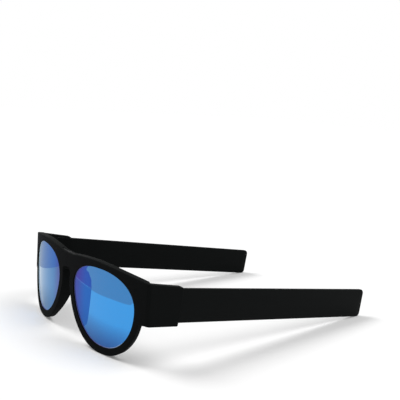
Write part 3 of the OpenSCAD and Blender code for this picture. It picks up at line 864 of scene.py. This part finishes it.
def band_piece(lay, start, end, tip):
    """A stretch of band with rounded long edges, and round corners where it ends in the tip."""
    a = lay.a
    bm = block((-lay.band_in, -a.band_set), (start, end), about(0, a.band_h))

    def lies_at(edge, y):
        return all(abs(v.co.y - y) < SAME for v in edge.verts)

    def crosses(edge):
        return abs(edge.verts[0].co.x - edge.verts[1].co.x) > SAME

    if tip:
        round_edges(bm, [e for e in bm.edges if lies_at(e, end) and crosses(e)], a.tip_r, segments=8)
    rims = [e for e in bm.edges if not crosses(e) and e.calc_face_angle() > ROUND_FROM
            and not lies_at(e, start) and (tip or not lies_at(e, end))]
    round_edges(bm, rims, a.band_r, segments=3)
    return bm


class GLASSES_OT_bands(bpy.types.Operator):
    """Makes the silicone bands in pieces from the middle of one section to the next"""
    bl_idname = "glasses.bands"
    bl_label = "Slap bands"

    def execute(self, context):
        lay = Layout()
        a = lay.a
        place = lay.arm()
        silicone = moulded_silicone()
        steel = spring_steel()
        pocket_end = a.sleeve_block - a.sleeve_len
        for name, side in SIDES:
            for i in range(1, a.band_n + 1):
                first = i == 1
                tip = i == a.band_n
                pivot = a.root_out + (i - 1) * a.pitch
                bend_end = pivot + a.pitch / 2
                start = lay.g.fit if first else pivot - a.pitch / 2
                skin = band_piece(lay, start, pivot + a.pitch if tip else bend_end, tip)
                tape = block(about(-lay.tape_mid, a.tape_t),
                             (pocket_end + MM if first else start,
                              lay.band_len - a.tape_end if tip else bend_end), about(0, a.tape_h))
                for shape in (skin, tape):
                    slice_mesh(shape, Vector((0, 1, 0)), spaced(start, bend_end, BAND_CUT)[1:])
                if first:
                    join(skin, block(about(-lay.tape_mid, a.root_t), (pocket_end + lay.g.fit, start),
                                     about(0, a.band_h)))
                for label, shape, finish, slot in (("skin", skin, silicone, "silicone"),
                                                   ("tape", tape, steel, "tape_steel")):
                    bmesh.ops.transform(shape, matrix=place, verts=shape.verts)
                    mesh = finish_mesh(shape, f"{name}_{label}_{i:02d}", side)
                    piece = add_piece(mesh.name, mesh, finish)
                    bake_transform(piece)
                    if label == "skin":
                        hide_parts(f"{name}_band_{i:02d}")
                        if first:
                            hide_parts(f"{name}_band_root")
                    elif first:
                        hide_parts(f"{name}_steel_tape")
        return {"FINISHED"}


class GLASSES_OT_fittings(bpy.types.Operator):
    """Gives the covers, hinge leaves, pin and screws of the fixed frame their materials"""
    bl_idname = "glasses.fittings"
    bl_label = "Covers, hinge and screws"

    def execute(self, context):
        finishes = ((("sleeve_cover",), soft_touch_plastic()),
                    (("hinge_leaf", "hinge_pin", "leaf_screw", "cover_screws"), blackened_steel()))
        for node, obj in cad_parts.items():
            for endings, finish in finishes:
                if node.endswith(endings):
                    obj.data.materials.clear()
                    obj.data.materials.append(finish)
        return {"FINISHED"}


# The cards that the lenses mirror: the tone at the near end and, where it changes, at the far
# end, and the corners on the floor in millimetres. Each lies a step above the one before it
CARD_STEP = 0.3 * MM
CARDS = (
    ("front_card", ("#ffd8d6",),
     ((-59, -187), (-12, -198), (320, -202), (320, -620), (-420, -620), (-420, -187))),
    ("side_card", ("#96a2cc", "#b4bcc0"),
     ((-152, -176), (-420, -176), (-420, -40), (-152, -40))),
    ("low_card", ("#b9bec6", "#f2f6f0"), ((-15, -104), (-152, -166), (-152, -40), (-60, -88))),
    ("rim_card", ("#ffffff", "#ecb7c6"),
     ((5, -104), (1, -119), (-16, -138), (70, -138), (70, -104))),
    ("nose_card", ("#a4a8d0",), ((5, -104), (1, -119), (-59, -187), (-128, -164))),
    ("nose_card_end", ("#ad8fc6",),
     ((-59, -187), (-84, -211), (-113, -227), (-180, -221), (-200, -196), (-128, -164))))
# Where each lamp shines from, how wide it looks in degrees, and its strength
LAMPS = (("key", (-0.5, -0.3, 0.8), 28, 1.5), ("fill", (0.3, 0.35, 0.85), 40, 1.05))
# Strength of the surroundings as light, where they are seen at 1
AMBIENT = 0.37
# Half the width of the floor, in metres
FLOOR_REACH = 3
# Glow that lifts the floor to white where nothing shades it
FLOOR_GLOW = 0.13
# The camera's turn, rise and roll in degrees, about a point behind the front
CAMERA_TURN = 51.32
CAMERA_RISE = 9.09
CAMERA_ROLL = 4.1
AIM_BACK = 40 * MM
AIM_UP = 22 * MM
# Distance from that point, and shift to the right and up
CAMERA_AWAY = 437.1 * MM
CAMERA_RIGHT = 50.9 * MM
CAMERA_UP = 58.9 * MM
# How near and how far it sees, in metres
CAMERA_SEES = (0.01, 20)
# Focal length as a share of the frame's width, and the sensor's width in millimetres
FOCAL = 676.1 / 400
SENSOR = 36


def lay_cards():
    """Lays the coloured cards on the floor, seen by reflections only."""
    for i, (name, tones, corners) in enumerate(CARDS, 1):
        bm = bmesh.new()
        bm.faces.new([bm.verts.new((x * MM, y * MM, i * CARD_STEP)) for x, y in corners])
        reach = [v.co.y for v in bm.verts]
        finish = matt_card(name, tones, min(reach), max(reach))
        card = add_piece(name, finish_mesh(bm, name, 1), finish)
        card.visible_camera = card.visible_diffuse = card.visible_shadow = False


def hang_lamps(scene):
    """Two soft suns: in front on the far side, and behind on the near side."""
    for name, place, spread, power in LAMPS:
        lamp = bpy.data.lights.new(name, "SUN")
        lamp.angle, lamp.energy = math.radians(spread), power
        holder = bpy.data.objects.new(name, lamp)
        holder.location = place
        holder.rotation_euler = (-Vector(place)).to_track_quat("-Z", "Y").to_euler()
        scene.collection.objects.link(holder)


def place_camera(scene):
    """A camera that looks across the glasses from their left front."""
    lens = bpy.data.cameras.new("camera")
    lens.sensor_width = SENSOR
    lens.lens = FOCAL * SENSOR
    lens.clip_start, lens.clip_end = CAMERA_SEES
    holder = bpy.data.objects.new("camera", lens)
    az, el, roll = (math.radians(d) for d in (CAMERA_TURN, CAMERA_RISE, CAMERA_ROLL))
    back = Vector((math.sin(az) * math.cos(el), -math.cos(az) * math.cos(el), math.sin(el)))
    turn = (-back).to_track_quat("-Z", "Y").to_matrix() @ Matrix.Rotation(roll, 3, "Z")
    aim = Vector((0, AIM_BACK + Layout().shift, AIM_UP))
    spot = aim + back * CAMERA_AWAY + turn.col[0] * CAMERA_RIGHT + turn.col[1] * CAMERA_UP
    holder.matrix_world = Matrix.Translation(spot) @ turn.to_4x4()
    scene.collection.objects.link(holder)
    scene.camera = holder


def light_world(scene):
    """White surroundings as seen, straight or in gloss, that light the object more softly."""
    world = bpy.data.worlds.new("studio")
    scene.world = world
    world.use_nodes = True
    tree = world.node_tree
    path = add_node(tree, "LightPath")
    seen = seen_by(tree, path, "Is Camera Ray", "Is Glossy Ray", "Is Transmission Ray")
    straight = add_node(tree, "Math", {0: path.outputs["Diffuse Depth"]}, operation="LESS_THAN")
    straight.inputs[1].default_value = 0.5
    seen = add_node(tree, "Math", {0: seen, 1: straight.outputs[0]}, operation="MULTIPLY")
    level = add_node(tree, "MapRange", {"Value": seen.outputs[0]}, To_Min=AMBIENT, To_Max=1.0)
    back = tree.nodes["Background"]
    back.inputs["Color"].default_value = (1, 1, 1, 1)
    tree.links.new(level.outputs["Result"], back.inputs["Strength"])


class GLASSES_OT_stage(bpy.types.Operator):
    """Makes the pale floor, the cards on it, the soft light and the camera"""
    bl_idname = "glasses.stage"
    bl_label = "Floor, light and camera"

    def execute(self, context):
        bm = bmesh.new()
        bmesh.ops.create_grid(bm, x_segments=4, y_segments=4, size=FLOOR_REACH)
        add_piece("floor", finish_mesh(bm, "floor", 1), pale_floor())
        lay_cards()
        light_world(context.scene)
        hang_lamps(context.scene)
        place_camera(context.scene)
        context.scene.view_settings.view_transform = "Standard"
        return {"FINISHED"}


class GLASSES_PT_panel(bpy.types.Panel):
    """Lists the steps that build the sunglasses"""
    bl_label = "Slap band sunglasses"
    bl_idname = "GLASSES_PT_panel"
    bl_space_type = "VIEW_3D"
    bl_region_type = "UI"
    bl_category = "Sunglasses"

    def draw(self, context):
        for step in STEPS:
            self.layout.operator(step.bl_idname)


GROUPS = (("glasses_front", FrontSizes), ("glasses_lens", LensSizes), ("glasses_hinge", HingeSizes),
          ("glasses_arm", ArmSizes), ("glasses_finish", Finishes))
STEPS = (GLASSES_OT_front, GLASSES_OT_lenses, GLASSES_OT_bands, GLASSES_OT_fittings, GLASSES_OT_stage)


def register():
    for name, group in GROUPS:
        bpy.utils.register_class(group)
        setattr(bpy.types.Scene, name, PointerProperty(type=group))
    for made in STEPS + (GLASSES_PT_panel,):
        bpy.utils.register_class(made)


def unregister():
    for made in reversed(STEPS + (GLASSES_PT_panel,)):
        bpy.utils.unregister_class(made)
    for name, group in reversed(GROUPS):
        delattr(bpy.types.Scene, name)
        bpy.utils.unregister_class(group)


def main():
    register()
    bpy.ops.glasses.front()
    bpy.ops.glasses.lenses()
    bpy.ops.glasses.bands()
    bpy.ops.glasses.fittings()
    bpy.ops.glasses.stage()


if __name__ == "__main__":
    main()
